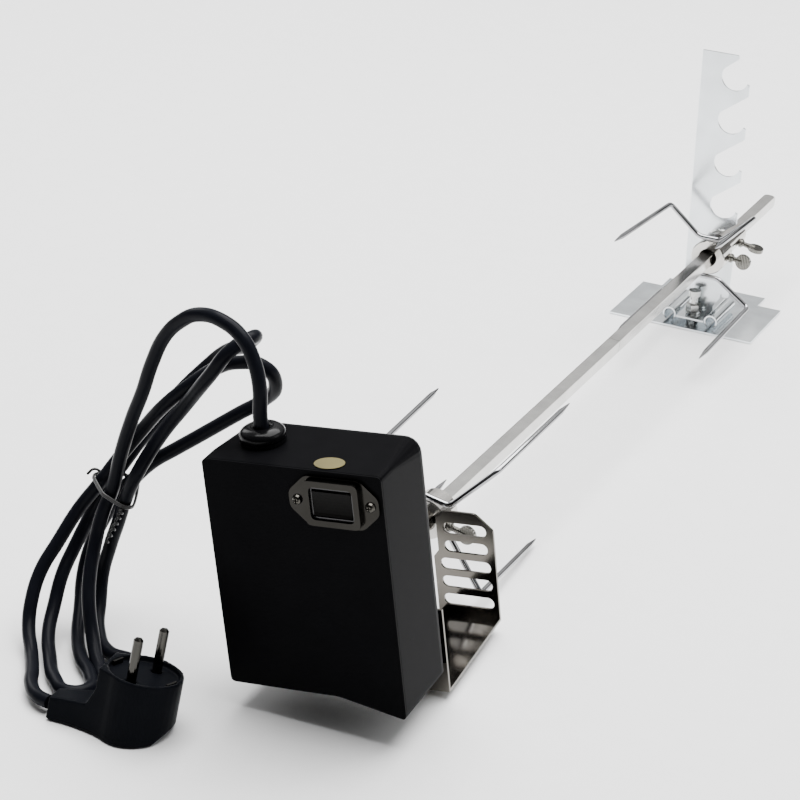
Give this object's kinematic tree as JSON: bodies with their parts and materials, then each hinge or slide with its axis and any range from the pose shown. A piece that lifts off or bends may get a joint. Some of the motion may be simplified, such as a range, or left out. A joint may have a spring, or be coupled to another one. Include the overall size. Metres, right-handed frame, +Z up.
{
  "type": "rotisserie_kit",
  "caption": "Barbecue rotisserie kit: boxed gear motor with hook bracket, square spit with two meat forks and collar, notched stand, mains cord tied in a bundle.",
  "frame": {"origin": "under the middle of the kit without its cord, on the table", "axes": "+Y along the spit from the motor unit to the stand, +Z up, +X to the right seen from the motor unit's front"},
  "size_m": [0.2323, 0.7861, 0.2058],
  "materials": {
    "case_paint": "satin black",
    "switch_steel": "satin",
    "switch_screw_steel": "satin",
    "switch_plastic": "gloss black",
    "rocker_plastic": "gloss smoky",
    "screw_zinc": "zinc plated",
    "gland_plastic": "gloss black",
    "label_foil": "gold foil",
    "bracket_steel": "mirror",
    "drive_steel": "zinc plated",
    "pinion_brass": "cut",
    "gear_nylon": "moulded",
    "socket_steel": "turned",
    "rod_chrome": "bright",
    "fork_wire": "bright",
    "hub_steel": "turned",
    "thumbscrew_steel": "satin",
    "stand_zinc": "bright zinc",
    "clamp_zinc": "zinc plated",
    "cord_rubber": "satin black",
    "tie_plastic": "satin",
    "plug_rubber": "satin black",
    "pin_nickel": "nickel"
  },
  "bodies": {
    "motor_unit": {"housing_shell": "case_paint", "front_cover": "case_paint", "switch_flange": "switch_steel", "switch_body": "switch_plastic", "sticker": "label_foil", "gland_body": "gland_plastic", "gland_nut": "gland_plastic", "bracket": "bracket_steel", "gearbox_front_plate": "drive_steel", "gearbox_rear_plate": "drive_steel", "motor_can": "drive_steel", "bearing_bush": "socket_steel", "cord": "cord_rubber", "twist_tie": "tie_plastic", "plug_body": "plug_rubber", "plug_pin_1": "pin_nickel", "plug_pin_2": "pin_nickel", "earth_clip_1": "pin_nickel", "earth_clip_2": "pin_nickel"},
    "rocker": {"switch_rocker": "rocker_plastic"},
    "flange_screw_left": {"flange_screw_left": "switch_screw_steel"},
    "flange_screw_right": {"flange_screw_right": "switch_screw_steel"},
    "case_screw_1": {"case_screw_1": "screw_zinc"},
    "case_screw_2": {"case_screw_2": "screw_zinc"},
    "case_screw_3": {"case_screw_3": "screw_zinc"},
    "bracket_screw_1": {"bracket_screw_1": "screw_zinc"},
    "bracket_screw_2": {"bracket_screw_2": "screw_zinc"},
    "spit": {"output_gear": "gear_nylon", "drive_socket": "socket_steel", "rod_near": "rod_chrome", "rod_far": "rod_chrome", "rod_stud": "rod_chrome"},
    "idler": {"idler_gear": "gear_nylon"},
    "pinion": {"motor_pinion": "pinion_brass"},
    "fork1": {"fork1_hub": "hub_steel", "fork1_upper_wire": "fork_wire", "fork1_lower_wire": "fork_wire"},
    "fork1_screw": {"fork1_thumbscrew": "thumbscrew_steel"},
    "fork2": {"fork2_hub": "hub_steel", "fork2_upper_wire": "fork_wire", "fork2_lower_wire": "fork_wire"},
    "fork2_screw": {"fork2_thumbscrew": "thumbscrew_steel"},
    "collar": {"collar": "hub_steel"},
    "collar_screw": {"collar_thumbscrew": "thumbscrew_steel"},
    "stand": {"base_plate": "stand_zinc", "guide_left": "stand_zinc", "guide_right": "stand_zinc"},
    "upright": {"stand_upright": "stand_zinc"},
    "clamp_bolt": {"clamp_bolt": "clamp_zinc"},
    "clamp_washer": {"clamp_washer": "clamp_zinc"},
    "clamp_nut": {"clamp_nut": "clamp_zinc"}
  },
  "joints": [
    {"name": "spit_turn", "type": "hinge", "parent": "motor_unit", "child": "spit", "pos_m": [0.00469, -0.30634, 0.05472], "axis": [0, 1, 0], "continuous": true},
    {"name": "idler_turn", "type": "hinge", "parent": "motor_unit", "child": "idler", "pos_m": [0.00469, -0.33634, 0.08102], "axis": [0, 1, 0], "continuous": true},
    {"name": "pinion_turn", "type": "hinge", "parent": "motor_unit", "child": "pinion", "pos_m": [0.00469, -0.34134, 0.10532], "axis": [0, 1, 0], "continuous": true},
    {"name": "rocker_tilt", "type": "hinge", "parent": "motor_unit", "child": "rocker", "pos_m": [0.02102, -0.35648, 0.13426], "axis": [0.9914, 0.0316, 0.1271], "range_deg": [-8, 8]},
    {"name": "flange_screw_left_turn", "type": "hinge", "parent": "motor_unit", "child": "flange_screw_left", "pos_m": [0.00127, -0.35911, 0.13165], "axis": [-0.0362, 0.9987, 0.0345], "continuous": true},
    {"name": "flange_screw_right_turn", "type": "hinge", "parent": "motor_unit", "child": "flange_screw_right", "pos_m": [0.04092, -0.35785, 0.13674], "axis": [-0.0362, 0.9987, 0.0345], "continuous": true},
    {"name": "case_screw_1_turn", "type": "hinge", "parent": "motor_unit", "child": "case_screw_1", "pos_m": [-0.04109, -0.30528, 0.13161], "axis": [-0.0362, 0.9987, 0.0345], "continuous": true},
    {"name": "case_screw_2_turn", "type": "hinge", "parent": "motor_unit", "child": "case_screw_2", "pos_m": [0.03227, -0.30294, 0.14101], "axis": [-0.0362, 0.9987, 0.0345], "continuous": true},
    {"name": "case_screw_3_turn", "type": "hinge", "parent": "motor_unit", "child": "case_screw_3", "pos_m": [-0.02762, -0.30113, 0.02554], "axis": [-0.0362, 0.9987, 0.0345], "continuous": true},
    {"name": "bracket_screw_1_turn", "type": "hinge", "parent": "motor_unit", "child": "bracket_screw_1", "pos_m": [0.02887, -0.29961, 0.04084], "axis": [-0.0362, 0.9987, 0.0345], "continuous": true},
    {"name": "bracket_screw_2_turn", "type": "hinge", "parent": "motor_unit", "child": "bracket_screw_2", "pos_m": [0.04671, -0.29904, 0.04313], "axis": [-0.0362, 0.9987, 0.0345], "continuous": true},
    {"name": "fork1_slide", "type": "slide", "parent": "spit", "child": "fork1", "axis": [0, 1, 0], "range_m": [-0.002, 0.24]},
    {"name": "fork2_slide", "type": "slide", "parent": "spit", "child": "fork2", "axis": [0, 1, 0], "range_m": [-0.24, 0]},
    {"name": "collar_slide", "type": "slide", "parent": "spit", "child": "collar", "axis": [0, 1, 0], "range_m": [-0.001, 0.06]},
    {"name": "fork1_screw_turn", "type": "hinge", "parent": "fork1", "child": "fork1_screw", "pos_m": [0.00469, -0.20984, 0.05472], "axis": [0.9744, 0, -0.225], "continuous": true},
    {"name": "fork2_screw_turn", "type": "hinge", "parent": "fork2", "child": "fork2_screw", "pos_m": [0.00469, 0.24466, 0.05472], "axis": [0.9925, 0, -0.1219], "continuous": true},
    {"name": "collar_screw_turn", "type": "hinge", "parent": "collar", "child": "collar_screw", "pos_m": [0.00469, 0.27566, 0.05472], "axis": [0.9816, 0, -0.1908], "continuous": true},
    {"name": "stand_place", "type": "slide", "parent": "motor_unit", "child": "stand", "axis": [0, 1, 0], "range_m": [0, 0.012]},
    {"name": "upright_clamp_slide", "type": "slide", "parent": "stand", "child": "upright", "axis": [0, 1, 0], "range_m": [0, 0.004]},
    {"name": "clamp_bolt_turn", "type": "hinge", "parent": "stand", "child": "clamp_bolt", "pos_m": [-0.00731, 0.24816, 0.01], "axis": [0, 0, 1], "continuous": true},
    {"name": "clamp_washer_turn", "type": "hinge", "parent": "clamp_bolt", "child": "clamp_washer", "pos_m": [-0.00731, 0.24816, 0.007], "axis": [0, 0, 1], "continuous": true},
    {"name": "clamp_nut_turn", "type": "hinge", "parent": "clamp_bolt", "child": "clamp_nut", "pos_m": [-0.00731, 0.24816, 0.01], "axis": [0, 0, 1], "continuous": true}
  ],
  "couplings": [
    {"joint": "idler_turn", "follows": "spit_turn", "ratio": -3.3333},
    {"joint": "pinion_turn", "follows": "spit_turn", "ratio": 10}
  ]
}
